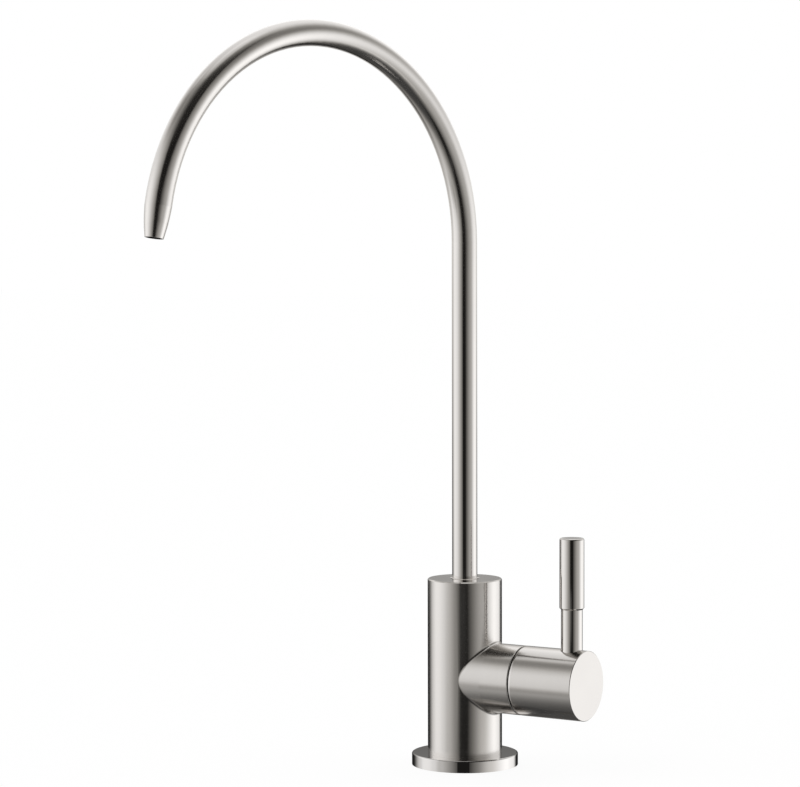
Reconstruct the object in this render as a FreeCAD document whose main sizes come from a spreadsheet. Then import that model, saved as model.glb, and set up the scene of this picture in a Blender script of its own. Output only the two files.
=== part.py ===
import FreeCAD, Part
import os
import re

import Sketcher

# Deck-mounted drinking-water faucet: a gooseneck spout that swivels in a turned column,
# and a quarter-turn ceramic valve in the side branch, worked by an upright lever.
# Millimetres. Origin on the column's axis at the deck surface, +Z up, +X along the branch.

SIZES = [
    # base and column
    ("flange_dia", 40.0), ("flange_thick", 4.5), ("flange_round", 0.5),
    ("gasket_dia", 34.0), ("gasket_thick", 2.0),
    ("flange_seal_dia", 20.0), ("flange_seal_cord", 1.5),
    ("column_dia", 28.0), ("column_top", 70.4), ("column_edge", 0.4), ("socket_edge", 0.25),
    ("branch_dia", 26.0), ("branch_high", 33.7), ("branch_reach", 26.0), ("branch_fillet", 1.2),
    ("seam_gap", 0.3), ("seam_round", 0.4),
    # clearances
    ("run_clear", 0.05), ("fit_clear", 0.1), ("end_clear", 0.3),
    # waterways
    ("waterway_dia", 6.0), ("outlet_dia", 2.6), ("outlet_rise", 6.8), ("sump_dia", 5.2),
    ("socket_web", 1.3),
    # valve chamber, measured along the branch from the column's axis
    ("seat_out", 9.5), ("seat_boss_dia", 10.8), ("seat_boss_high", 2.0),
    ("chamber_dia", 16.4), ("chamber_shoulder", 18.0), ("gland_dia", 18.0), ("gland_face", 25.2),
    ("gland_bore", 10.6), ("gland_slot_wide", 3.0), ("gland_slot_deep", 1.5),
    # cartridge
    ("seal_bore", 7.8), ("seal_dia", 10.4), ("seal_thick", 1.5),
    ("disc_dia", 11.7), ("disc_thick", 2.0), ("port_inner_dia", 2.0), ("port_outer_dia", 7.6),
    ("port_angle", 78.0), ("disc_ports", 2), ("notch_inner_dia", 3.0),
    ("barrel_dia", 13.8), ("pocket_dia", 11.8), ("pocket_end", 17.0), ("housing_end", 20.0),
    ("window_angle", 70.0), ("barrel_seal_cord", 1.3), ("barrel_seal_out", 16.5),
    # spindle
    ("spindle_dia", 7.5), ("plate_thick", 1.6), ("tang_wide", 2.0), ("tang_deep", 0.9),
    ("spindle_seal_cord", 0.85), ("spindle_seal_out", 18.8),
    ("clip_dia", 9.8), ("clip_thick", 0.75), ("clip_gap", 60.0),
    ("spline_start", 27.5), ("spline_long", 12.0), ("spline_deep", 0.5), ("spline_teeth", 20),
    ("stop_pin_dia", 1.2), ("stop_pin_ring", 9.9), ("stop_deep", 1.2), ("quarter_turn", 90.0),
    # handle
    ("hub_long", 26.0), ("hub_edge", 0.2), ("hub_mouth_dia", 18.0), ("hub_mouth_deep", 2.55),
    ("lever_out", 46.1), ("lever_tail_dia", 6.0), ("lever_tail_start", 4.2),
    ("lever_seat", 12.3), ("lever_stem_dia", 8.0), ("lever_grip_dia", 9.15),
    ("lever_grip_start", 28.0), ("lever_grip_bevel", 0.6), ("lever_top", 54.4),
    ("lever_round", 0.7), ("lever_gap", 0.2),
    ("screw_out", 34.0), ("screw_dia", 4.0), ("screw_long", 8.0), ("screw_key", 2.0),
    # spout
    ("tube_dia", 9.5), ("tube_wall", 0.7), ("tube_straight_top", 196.9), ("bend_radius", 74.4),
    ("bend_angle", 170.0), ("nose_long", 11.0), ("nose_dia", 6.6), ("nose_wall", 0.45),
    ("nose_swell", 0.2), ("spout_rest_angle", -103.33),
    ("nipple_dia", 11.0), ("nipple_long", 17.0), ("nipple_cup", 8.0),
    ("spout_seal_cord", 1.15), ("spout_seal_first", 3.3), ("spout_seal_pitch", 3.2),
    ("retainer_dia", 12.1), ("retainer_thick", 1.1), ("retainer_split", 2.5),
    ("bush_drop", 0.3),
    # shank and deck clamp
    ("shank_dia", 11.1), ("shank_long", 58.0), ("shank_bore", 5.0),
    ("shank_tail_dia", 10.0), ("shank_tail_long", 11.0),
    ("register_dia", 12.8), ("neck_dia", 12.0), ("neck_long", 4.0),
    ("supply_dia", 6.5), ("supply_deep", 16.0), ("supply_cone_dia", 8.8), ("supply_cone", 1.5),
    ("supply_nut_flats", 14.3), ("supply_nut_long", 13.0), ("supply_nut_floor", 2.8),
    ("ferrule_dia", 9.0), ("ferrule_bore", 6.9), ("ferrule_back", 1.7),
    ("deck_thick", 20.0), ("clamp_washer_dia", 32.0), ("clamp_washer_thick", 3.0),
    ("lock_washer_dia", 20.0), ("lock_washer_thick", 1.2), ("lock_notch_dia", 3.2),
    ("lock_notches", 12), ("deck_nut_flats", 17.5), ("deck_nut_thick", 6.5), ("nut_bevel", 0.8),
    ("thread_edge", 0.5),
]

doc = FreeCAD.newDocument("faucet")
sheet = doc.addObject("Spreadsheet::Sheet", "sizes")
for row, (alias, value) in enumerate(SIZES, start=1):
    sheet.set(f"A{row}", alias)
    sheet.set(f"B{row}", str(value))
    sheet.setAlias(f"B{row}", alias)
doc.recompute()

ALIASES = {alias for alias, _ in SIZES}
# a cutting profile runs this far past the surface that it opens
PAST = 1.0
# two lengths nearer than this are the same
SAME = 0.001
FULL_TURN = 360
HEX_SIDES = 6
HEX_STEP = FULL_TURN // HEX_SIDES
# shares of a tooth's pitch that the tooth takes up at its foot and at its tip
TOOTH_FOOT = 0.75
TOOTH_TIP = 0.25
SPOUT_SEALS = ("spout_o_ring_lower", "spout_o_ring_upper")

# Places worked out from the driving sizes, as formulas over the sheet's aliases
SOCKET_FLOOR = "(branch_high + chamber_dia / 2 + socket_web)"
SOCKET_RADIUS = "(nipple_dia / 2 + run_clear)"
NIPPLE_TOP = f"({SOCKET_FLOOR} + nipple_long)"
RETAINER_LOW = f"({NIPPLE_TOP} + end_clear)"
RETAINER_TOP = f"({RETAINER_LOW} + retainer_thick + fit_clear)"
TUBE_LOW = f"({NIPPLE_TOP} - nipple_cup)"
DISC_SPLIT = "(seat_out + seal_thick + disc_thick)"
PLATE_LOW = f"({DISC_SPLIT} + disc_thick)"
PLATE_TOP = f"({PLATE_LOW} + plate_thick)"
HUB_START = "(branch_reach + seam_gap)"
HUB_END = f"({HUB_START} + hub_long)"
SPLINE_END = "(spline_start + spline_long)"
CLIP_START = "(housing_end + fit_clear)"
CLAMP_TOP = "(0 - deck_thick)"
LOCK_TOP = f"({CLAMP_TOP} - clamp_washer_thick)"
NUT_TOP = f"({LOCK_TOP} - lock_washer_thick)"
SUPPLY_NUT_FLOOR = "(0 - shank_long - ferrule_back)"
SUPPLY_NUT_LOW = f"({SUPPLY_NUT_FLOOR} - supply_nut_floor)"


def formula(text):
    """The same formula with each alias written as a cell of the sheet."""
    return re.sub(r"[a-z]\w*", lambda m: f"sizes.{m[0]}" if m[0] in ALIASES else m[0], str(text))


def number(text):
    """The present value of a formula."""
    return float(sheet.evalExpression(str(text)))


# Bodies and where they lie

BRANCH_TURN = FreeCAD.Rotation(FreeCAD.Vector(1, 1, 1), 120)
UPRIGHT = FreeCAD.Rotation()
POINT_DOWN = FreeCAD.Rotation(FreeCAD.Vector(1, 0, 0), 180)


def place(piece, turn=UPRIGHT, x="0", z="0"):
    piece.Placement = FreeCAD.Placement(FreeCAD.Vector(number(x), 0, number(z)), turn)
    piece.setExpression("Placement.Base.x", formula(x))
    piece.setExpression("Placement.Base.z", formula(z))


def new_body(name, turn=UPRIGHT, x="0", z="0"):
    body = doc.addObject("PartDesign::Body", name)
    body.Label = name
    place(body, turn, x, z)
    return body


def branch_body(name):
    """A body whose own Z runs out along the branch and whose own Y points up."""
    return new_body(name, BRANCH_TURN, z="branch_high")


def origin_feature(body, role):
    return next(f for f in body.Origin.OriginFeatures if f.Role == role)


# Sketches

def new_sketch(body, name, role="XZ_Plane", lift="0", rise="0"):
    """A sketch on one of the body's planes; lift is along the plane's normal, rise along its y."""
    sketch = body.newObject("Sketcher::SketchObject", f"{body.Name}_{name}")
    sketch.AttachmentSupport = (origin_feature(body, role), [""])
    sketch.MapMode = "FlatFace"
    sketch.setExpression("AttachmentOffset.Base.y", formula(rise))
    sketch.setExpression("AttachmentOffset.Base.z", formula(lift))
    return sketch


def hold_point(sketch, geometry, point, x, y):
    """Fix a point of the sketch at the formulas x and y."""
    for kind, text in (("DistanceX", x), ("DistanceY", y)):
        rule = sketch.addConstraint(
            Sketcher.Constraint(kind, -1, 1, geometry, point, number(text)))
        sketch.setExpression(f"Constraints[{rule}]", formula(text))


def outline(sketch, corners):
    """A closed chain of lines whose corners are formulas (x, y)."""
    spots = [FreeCAD.Vector(number(x), number(y), 0) for x, y in corners]
    first = sketch.GeometryCount
    count = len(corners)
    for i in range(count):
        sketch.addGeometry(Part.LineSegment(spots[i], spots[(i + 1) % count]), False)
    for i in range(count):
        sketch.addConstraint(
            Sketcher.Constraint("Coincident", first + i, 2, first + (i + 1) % count, 1))
    for i, (x, y) in enumerate(corners):
        hold_point(sketch, first + i, 1, x, y)


def circle(sketch, diameter, x="0", y="0"):
    centre = FreeCAD.Vector(number(x), number(y), 0)
    ring = sketch.addGeometry(
        Part.Circle(centre, FreeCAD.Vector(0, 0, 1), number(diameter) / 2), False)
    hold_point(sketch, ring, 3, x, y)
    rule = sketch.addConstraint(Sketcher.Constraint("Diameter", ring, number(diameter)))
    sketch.setExpression(f"Constraints[{rule}]", formula(diameter))


def hex_reach(flats):
    """From a hexagon's centre to its corners."""
    return f"(({flats}) / 2 / cos({HEX_STEP} / 2))"


def hexagon(sketch, flats):
    corners = []
    for i in range(HEX_SIDES):
        corners.append((f"{hex_reach(flats)} * cos({HEX_STEP * i})",
                        f"{hex_reach(flats)} * sin({HEX_STEP * i})"))
    outline(sketch, corners)


# Features

def volume(body):
    doc.recompute()
    return body.Shape.Volume if body.Tip else 0.0


def feature(body, kind, name, sketch, **settings):
    """A sketch-based feature; a cut has to take material away and anything else has to add it."""
    before = volume(body)
    made = body.newObject(f"PartDesign::{kind}", f"{body.Name}_{name}")
    made.Profile = sketch
    for key, value in settings.items():
        if isinstance(value, str) and key in ("Length", "Angle"):
            made.setExpression(key, formula(value))
        else:
            setattr(made, key, value)
    change = volume(body) - before
    if (change >= 0) if kind in ("Pocket", "Groove") else (change <= 0):
        raise ValueError(f"{body.Name}: {name} left the volume as it was")
    return made


def turned(body, name, corners, kind="Revolution", **settings):
    """Revolve an outline of (radius, height) corners about the body's own Z."""
    sketch = new_sketch(body, f"{name}_outline")
    outline(sketch, corners)
    settings.setdefault("Angle", FULL_TURN)
    return feature(body, kind, name, sketch, ReferenceAxis=(sketch, ["V_Axis"]), **settings)


def sector_cut(body, name, role, corners, angle):
    """A groove about Z that spans an angle, centred on the sketch plane."""
    sketch = new_sketch(body, f"{name}_outline", role)
    outline(sketch, corners)
    return feature(body, "Groove", name, sketch, ReferenceAxis=(sketch, ["V_Axis"]),
                   Angle=angle, Midplane=True)


def around(body, name, original, count):
    """Repeat a feature evenly about the body's own Z."""
    pattern = body.newObject("PartDesign::PolarPattern", f"{body.Name}_{name}")
    pattern.Originals = [original]
    pattern.Axis = (origin_feature(body, "Z_Axis"), [""])
    pattern.Angle = FULL_TURN
    pattern.setExpression("Occurrences", formula(count))
    body.Tip = pattern
    doc.recompute()
    return pattern


def ring_edges(body, radius, height):
    """Names of the Tip's circular edges with this radius at this height on the body's Z."""
    doc.recompute()
    shape = body.Tip.Shape
    names = []
    for i, edge in enumerate(shape.Edges, start=1):
        curve = edge.Curve
        if curve.TypeId != "Part::GeomCircle":
            continue
        miss = max(abs(curve.Radius - number(radius)), abs(curve.Center.z - number(height)))
        if miss < SAME:
            names.append(f"Edge{i}")
    if not names:
        raise ValueError(f"{body.Name}: no edge of radius {radius} at {height}")
    return names


def rounded(body, name, edges, radius):
    base = body.Tip
    fillet = body.newObject("PartDesign::Fillet", f"{body.Name}_{name}")
    fillet.Base = (base, edges)
    fillet.setExpression("Radius", formula(radius))
    doc.recompute()
    return fillet


def ring_cord(name, ring_radius, cord, turn=UPRIGHT, x="0", z="0"):
    """An O-ring: a torus whose ring radius is measured to the middle of its cord."""
    seal = doc.addObject("Part::Torus", name)
    seal.Label = name
    seal.setExpression("Radius1", formula(ring_radius))
    seal.setExpression("Radius2", formula(f"({cord}) / 2"))
    place(seal, turn, x, z)
    return seal


# Column with its side branch

def make_valve_body():
    body = new_body("valve_body")
    turned(body, "column", [
        ("0", "flange_thick"), ("column_dia / 2", "flange_thick"),
        ("column_dia / 2", "column_top - column_edge"),
        ("column_dia / 2 - column_edge", "column_top"), ("0", "column_top")])
    branch = new_sketch(body, "branch_outline", "YZ_Plane")
    circle(branch, "branch_dia", "0", "branch_high")
    feature(body, "Pad", "branch", branch, Length="branch_reach")
    saddle = [f"Edge{i}" for i, edge in enumerate(body.Tip.Shape.Edges, start=1)
              if edge.Curve.TypeId == "Part::GeomBSplineCurve"]
    rounded(body, "branch_fillet", saddle, "branch_fillet")

    turned(body, "shank_hole", [
        ("0", f"flange_thick - {PAST}"), ("shank_tail_dia / 2", f"flange_thick - {PAST}"),
        ("shank_tail_dia / 2", "flange_thick + shank_tail_long + end_clear"),
        ("waterway_dia / 2", "flange_thick + shank_tail_long + end_clear"),
        ("waterway_dia / 2", "branch_high + waterway_dia / 2"),
        ("0", "branch_high + waterway_dia / 2")], "Groove")
    turned(body, "spout_socket", [
        ("0", "branch_high + outlet_rise - outlet_dia / 2"),
        ("sump_dia / 2", "branch_high + outlet_rise - outlet_dia / 2"),
        ("sump_dia / 2", SOCKET_FLOOR), (SOCKET_RADIUS, SOCKET_FLOOR),
        (SOCKET_RADIUS, RETAINER_LOW), ("retainer_dia / 2 + run_clear", RETAINER_LOW),
        ("retainer_dia / 2 + run_clear", RETAINER_TOP), (SOCKET_RADIUS, RETAINER_TOP),
        (SOCKET_RADIUS, "column_top - socket_edge"),
        (f"{SOCKET_RADIUS} + socket_edge + {PAST}", f"column_top + {PAST}"),
        ("0", f"column_top + {PAST}")], "Groove")

    chamber = new_sketch(body, "chamber_outline", rise="branch_high")
    outline(chamber, [
        ("seat_out", "0"), ("seat_out", "seat_boss_dia / 2"),
        ("seat_out - seat_boss_high", "seat_boss_dia / 2"),
        ("seat_out - seat_boss_high", "chamber_dia / 2"), ("chamber_shoulder", "chamber_dia / 2"),
        ("chamber_shoulder", "gland_dia / 2"), ("branch_reach - thread_edge", "gland_dia / 2"),
        (f"branch_reach + {PAST}", f"gland_dia / 2 + thread_edge + {PAST}"),
        (f"branch_reach + {PAST}", "0")])
    feature(body, "Groove", "chamber", chamber, ReferenceAxis=(chamber, ["H_Axis"]),
            Angle=FULL_TURN)

    inlet = new_sketch(body, "inlet_outline", "YZ_Plane")
    circle(inlet, "waterway_dia", "0", "branch_high")
    feature(body, "Pocket", "inlet", inlet, Reversed=True, Length="seat_out")
    outlet = new_sketch(body, "outlet_outline", "YZ_Plane")
    circle(outlet, "outlet_dia", "0", "branch_high + outlet_rise")
    feature(body, "Pocket", "outlet", outlet, Reversed=True, Length="seat_out - seat_boss_high")
    return body


def make_base_flange():
    body = new_body("base_flange")
    groove_in = "(flange_seal_dia - flange_seal_cord) / 2 - run_clear"
    groove_out = "(flange_seal_dia + flange_seal_cord) / 2 + run_clear"
    bore = "register_dia / 2 + fit_clear"
    recess = "gasket_dia / 2 + run_clear"
    turned(body, "ring", [
        (recess, "0"), ("flange_dia / 2", "0"), ("flange_dia / 2", "flange_thick"),
        (groove_out, "flange_thick"), (groove_out, "flange_thick - flange_seal_cord"),
        (groove_in, "flange_thick - flange_seal_cord"), (groove_in, "flange_thick"),
        (bore, "flange_thick"), (bore, "gasket_thick"), (recess, "gasket_thick")])
    rounded(body, "rim", ring_edges(body, "flange_dia / 2", "flange_thick"), "flange_round")
    return body


def make_deck_gasket():
    body = new_body("deck_gasket")
    bore = "register_dia / 2 + fit_clear"
    turned(body, "ring", [
        (bore, "0"), ("gasket_dia / 2", "0"), ("gasket_dia / 2", "gasket_thick"),
        (bore, "gasket_thick")])
    return body


# Shank, supply joint and deck clamp

def make_threaded_shank():
    body = new_body("threaded_shank")
    tail_top = "flange_thick + shank_tail_long"
    turned(body, "stem", [
        ("shank_bore / 2", tail_top), ("shank_bore / 2", "supply_deep - shank_long"),
        ("supply_dia / 2", "supply_deep - shank_long"),
        ("supply_dia / 2", "supply_cone - shank_long"),
        ("supply_cone_dia / 2", "0 - shank_long"), ("shank_dia / 2 - thread_edge", "0 - shank_long"),
        ("shank_dia / 2", "thread_edge - shank_long"), ("shank_dia / 2", "0 - neck_long"),
        ("neck_dia / 2", "0 - neck_long"), ("neck_dia / 2", "0"), ("register_dia / 2", "0"),
        ("register_dia / 2", "flange_thick"), ("shank_tail_dia / 2", "flange_thick"),
        ("shank_tail_dia / 2", f"{tail_top} - thread_edge"),
        ("shank_tail_dia / 2 - thread_edge", tail_top)])
    return body


def bevel_nut(body, name, flats, height, toward):
    """Cut a nut's corners back to a cone at one end; toward is 1 for its top and -1 for its foot."""
    corner = hex_reach(flats)
    turned(body, name, [
        (f"({flats}) / 2", height), (f"{corner} + {PAST}", height),
        (f"{corner} + {PAST}", f"{height} - {toward} * nut_bevel"),
        (corner, f"{height} - {toward} * nut_bevel")], "Groove")


def make_hex_nut(name, flats, low, high):
    body = new_body(name)
    block = new_sketch(body, "block_outline", "XY_Plane", lift=low)
    hexagon(block, flats)
    feature(body, "Pad", "block", block, Length=f"{high} - {low}")
    bevel_nut(body, "top_bevel", flats, high, 1)
    bevel_nut(body, "foot_bevel", flats, low, -1)
    return body


def make_compression_nut():
    high = f"({SUPPLY_NUT_LOW} + supply_nut_long)"
    body = make_hex_nut("compression_nut", "supply_nut_flats", SUPPLY_NUT_LOW, high)
    turned(body, "bore", [
        ("0", f"{SUPPLY_NUT_LOW} - {PAST}"),
        ("ferrule_bore / 2 + fit_clear", f"{SUPPLY_NUT_LOW} - {PAST}"),
        ("ferrule_bore / 2 + fit_clear", SUPPLY_NUT_FLOOR),
        ("shank_dia / 2 + run_clear", SUPPLY_NUT_FLOOR),
        ("shank_dia / 2 + run_clear", f"{high} + {PAST}"), ("0", f"{high} + {PAST}")], "Groove")
    return body


def make_ferrule():
    """A double-ended cone: its nose sits in the shank's mouth and its back on the nut's floor."""
    body = new_body("ferrule")
    back = SUPPLY_NUT_FLOOR
    steepness = "2 * supply_cone / (supply_cone_dia - supply_dia)"
    # the nose ends where the shank's cone is a clearance wider than the nose
    nose = ("supply_cone - shank_long"
            f" - (ferrule_bore / 2 + 2 * fit_clear - supply_dia / 2) * {steepness}")
    turned(body, "ring", [
        ("ferrule_bore / 2", back), ("ferrule_dia / 2 - thread_edge", back),
        ("ferrule_dia / 2", f"{back} + thread_edge"),
        ("ferrule_dia / 2", "0 - shank_long - run_clear"),
        ("supply_cone_dia / 2 - fit_clear", "0 - shank_long - run_clear"),
        ("ferrule_bore / 2 + fit_clear", nose), ("ferrule_bore / 2", nose)])
    return body


def make_clamp_washer():
    body = new_body("clamp_washer")
    bore = "neck_dia / 2 + 2 * fit_clear"
    turned(body, "ring", [
        (bore, LOCK_TOP), ("clamp_washer_dia / 2 - thread_edge", LOCK_TOP),
        ("clamp_washer_dia / 2", f"{LOCK_TOP} + thread_edge"), ("clamp_washer_dia / 2", CLAMP_TOP),
        (bore, CLAMP_TOP)])
    return body


def make_lock_washer():
    """A star washer: teeth round the rim, left between notches."""
    body = new_body("lock_washer")
    bore = "shank_dia / 2 + fit_clear"
    turned(body, "ring", [
        (bore, NUT_TOP), ("lock_washer_dia / 2", NUT_TOP), ("lock_washer_dia / 2", LOCK_TOP),
        (bore, LOCK_TOP)])
    notch = new_sketch(body, "notch_outline", "XY_Plane", lift=LOCK_TOP)
    circle(notch, "lock_notch_dia", "lock_washer_dia / 2")
    cut = feature(body, "Pocket", "notch", notch, Length="lock_washer_thick")
    around(body, "notches", cut, "lock_notches")
    return body


def make_deck_nut():
    low = f"({NUT_TOP} - deck_nut_thick)"
    body = make_hex_nut("deck_nut", "deck_nut_flats", low, NUT_TOP)
    bore = new_sketch(body, "bore_outline", "XY_Plane", lift=NUT_TOP)
    circle(bore, "shank_dia + 2 * run_clear")
    feature(body, "Pocket", "bore", bore, Length="deck_nut_thick")
    return body


# Spout

def make_spout_tube():
    """One tube, bent to a gooseneck and swaged to a thin rounded nose."""
    turn = FreeCAD.Rotation(FreeCAD.Vector(0, 0, 1), number("spout_rest_angle"))
    body = new_body("spout_tube", turn)
    body.setExpression("Placement.Rotation.Angle", formula("0 - spout_rest_angle"))
    body.setExpression("Placement.Rotation.Axis.z", "-1")

    path = new_sketch(body, "path")
    centre = FreeCAD.Vector(number("bend_radius"), number("tube_straight_top"), 0)
    turned_by = number("bend_angle")
    arc_end = FreeCAD.Vector(centre) + FreeCAD.Rotation(
        FreeCAD.Vector(0, 0, 1), -turned_by).multVec(FreeCAD.Vector(-number("bend_radius"), 0, 0))
    straight = path.addGeometry(Part.LineSegment(
        FreeCAD.Vector(0, number(TUBE_LOW), 0), FreeCAD.Vector(0, number("tube_straight_top"), 0)),
        False)
    middle = FreeCAD.Vector(centre) + FreeCAD.Rotation(
        FreeCAD.Vector(0, 0, 1), -turned_by / 2).multVec(
            FreeCAD.Vector(-number("bend_radius"), 0, 0))
    bend = path.addGeometry(Part.Arc(
        FreeCAD.Vector(0, number("tube_straight_top"), 0), middle, arc_end), False)
    hold_point(path, straight, 1, "0", TUBE_LOW)
    hold_point(path, straight, 2, "0", "tube_straight_top")
    end_x = "bend_radius * (1 - cos(bend_angle))"
    end_y = "tube_straight_top + bend_radius * sin(bend_angle)"
    # the arc is stored anticlockwise, so its first point is the far end of the bend
    path.addConstraint(Sketcher.Constraint("Coincident", straight, 2, bend, 2))
    hold_point(path, bend, 3, "bend_radius", "tube_straight_top")
    rule = path.addConstraint(Sketcher.Constraint("DistanceX", -1, 1, bend, 1, number(end_x)))
    path.setExpression(f"Constraints[{rule}]", formula(end_x))

    section = new_sketch(body, "section", "XY_Plane", lift=TUBE_LOW)
    circle(section, "tube_dia")
    circle(section, "tube_dia - 2 * tube_wall")
    pipe = body.newObject("PartDesign::AdditivePipe", "spout_tube_pipe")
    pipe.Profile = section
    pipe.Spine = (path, ["Edge1", "Edge2"])
    doc.recompute()

    # The nose is turned about the tube's own line where the bend ends
    nose = body.newObject("Sketcher::SketchObject", "spout_tube_nose_outline")
    nose.AttachmentSupport = (origin_feature(body, "XZ_Plane"), [""])
    nose.MapMode = "FlatFace"
    nose.setExpression("AttachmentOffset.Base.x", formula(end_x))
    nose.setExpression("AttachmentOffset.Base.y", formula(end_y))
    nose.setExpression("AttachmentOffset.Rotation.Angle", formula("bend_angle"))
    nose.setExpression("AttachmentOffset.Rotation.Axis.z", "-1")
    nose.setExpression("AttachmentOffset.Rotation.Axis.x", "0")
    nose.setExpression("AttachmentOffset.Rotation.Axis.y", "0")
    bore = "tube_dia / 2 - tube_wall"
    tip_bore = "nose_dia / 2 - nose_wall"
    rows = [("tube_dia / 2", "0"), ("nose_dia / 2", "nose_long"), (tip_bore, "nose_long"),
            (bore, "0")]
    spots = [FreeCAD.Vector(number(x), number(y), 0) for x, y in rows]

    def swell(a, b, out):
        """The middle of an arc from a to b that bows outwards."""
        return (a + b) * 0.5 + FreeCAD.Vector(out, 0, 0)

    bow = number("nose_swell")
    outer = nose.addGeometry(Part.Arc(spots[0], swell(spots[0], spots[1], bow), spots[1]), False)
    rim = nose.addGeometry(Part.LineSegment(spots[1], spots[2]), False)
    inner = nose.addGeometry(Part.Arc(spots[3], swell(spots[3], spots[2], bow), spots[2]), False)
    root = nose.addGeometry(Part.LineSegment(spots[3], spots[0]), False)
    hold_point(nose, rim, 1, *rows[1])
    hold_point(nose, rim, 2, *rows[2])
    hold_point(nose, root, 1, *rows[3])
    hold_point(nose, root, 2, *rows[0])
    # an arc that bows outwards to +x runs anticlockwise from its lower end
    nose.addConstraint(Sketcher.Constraint("Coincident", outer, 1, root, 2))
    nose.addConstraint(Sketcher.Constraint("Coincident", outer, 2, rim, 1))
    nose.addConstraint(Sketcher.Constraint("Coincident", inner, 1, root, 1))
    nose.addConstraint(Sketcher.Constraint("Coincident", inner, 2, rim, 2))
    # the radius of an arc over a chord is chord^2 / (8 bow) + bow / 2
    for arc, wide in ((outer, "(tube_dia - nose_dia) / 2"), (inner, f"({bore}) - ({tip_bore})")):
        radius = f"(pow({wide}; 2) + pow(nose_long; 2)) / (8 * nose_swell) + nose_swell / 2"
        rule = nose.addConstraint(Sketcher.Constraint("Radius", arc, number(radius)))
        nose.setExpression(f"Constraints[{rule}]", formula(radius))
    feature(body, "Revolution", "nose", nose, ReferenceAxis=(nose, ["V_Axis"]),
            Angle=FULL_TURN)
    return body


def make_spout_nipple():
    body = new_body("spout_nipple")
    groove = "nipple_dia / 2 - spout_seal_cord"
    corners = [
        ("waterway_dia / 2", SOCKET_FLOOR), ("nipple_dia / 2 - thread_edge", SOCKET_FLOOR),
        ("nipple_dia / 2", f"{SOCKET_FLOOR} + thread_edge")]
    for i in range(len(SPOUT_SEALS)):
        middle = f"{SOCKET_FLOOR} + spout_seal_first + {i} * spout_seal_pitch"
        half = "(spout_seal_cord / 2 + fit_clear)"
        corners += [("nipple_dia / 2", f"{middle} - {half}"), (groove, f"{middle} - {half}"),
                    (groove, f"{middle} + {half}"), ("nipple_dia / 2", f"{middle} + {half}")]
    corners += [
        ("nipple_dia / 2", NIPPLE_TOP), ("tube_dia / 2", NIPPLE_TOP), ("tube_dia / 2", TUBE_LOW),
        ("waterway_dia / 2", TUBE_LOW)]
    turned(body, "stem", corners)
    return body


def make_spout_seals():
    return [ring_cord(name, "(nipple_dia - spout_seal_cord) / 2", "spout_seal_cord",
                      z=f"{SOCKET_FLOOR} + spout_seal_first + {i} * spout_seal_pitch")
            for i, name in enumerate(SPOUT_SEALS)]


def make_spout_retaining_ring():
    """A split ring that springs into the column's groove over the nipple."""
    body = new_body("spout_retaining_ring")
    low = f"{RETAINER_LOW} + fit_clear / 2"
    turned(body, "ring", [
        ("tube_dia / 2 + 2 * fit_clear", low), ("retainer_dia / 2", low),
        ("retainer_dia / 2", f"{low} + retainer_thick"),
        ("tube_dia / 2 + 2 * fit_clear", f"{low} + retainer_thick")])
    split = new_sketch(body, "split_outline", "XY_Plane", lift=low)
    outline(split, [
        ("0", "0 - retainer_split / 2"), ("retainer_dia", "0 - retainer_split / 2"),
        ("retainer_dia", "retainer_split / 2"), ("0", "retainer_split / 2")])
    feature(body, "Pocket", "split", split, Reversed=True, Length="retainer_thick")
    return body


def make_spout_bush():
    body = new_body("spout_bush")
    bore = "tube_dia / 2 + run_clear"
    top = "column_top - bush_drop"
    turned(body, "sleeve", [
        (bore, f"{RETAINER_TOP} + fit_clear"), (SOCKET_RADIUS, f"{RETAINER_TOP} + fit_clear"),
        (SOCKET_RADIUS, f"{top} - socket_edge"), (f"{SOCKET_RADIUS} - socket_edge", top),
        (f"{bore} + socket_edge", top), (bore, f"{top} - socket_edge")])
    return body


# Valve cartridge, fixed part: heights run out along the branch from the column's axis

def make_seat_seal():
    body = branch_body("seat_seal")
    turned(body, "ring", [
        ("seal_bore / 2", "seat_out"), ("seal_dia / 2", "seat_out"),
        ("seal_dia / 2", "seat_out + seal_thick"), ("seal_bore / 2", "seat_out + seal_thick")])
    return body


def make_fixed_disc():
    """Two sector ports, above and below the branch axis."""
    body = branch_body("fixed_ceramic_disc")
    low = "seat_out + seal_thick"
    turned(body, "disc", [
        ("0", low), ("disc_dia / 2", low), ("disc_dia / 2", DISC_SPLIT), ("0", DISC_SPLIT)])
    port = sector_cut(body, "port", "YZ_Plane", [
        ("port_inner_dia / 2", f"{low} - {PAST}"), ("port_outer_dia / 2", f"{low} - {PAST}"),
        ("port_outer_dia / 2", f"{DISC_SPLIT} + {PAST}"),
        ("port_inner_dia / 2", f"{DISC_SPLIT} + {PAST}")], "port_angle")
    around(body, "ports", port, "disc_ports")
    return body


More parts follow.
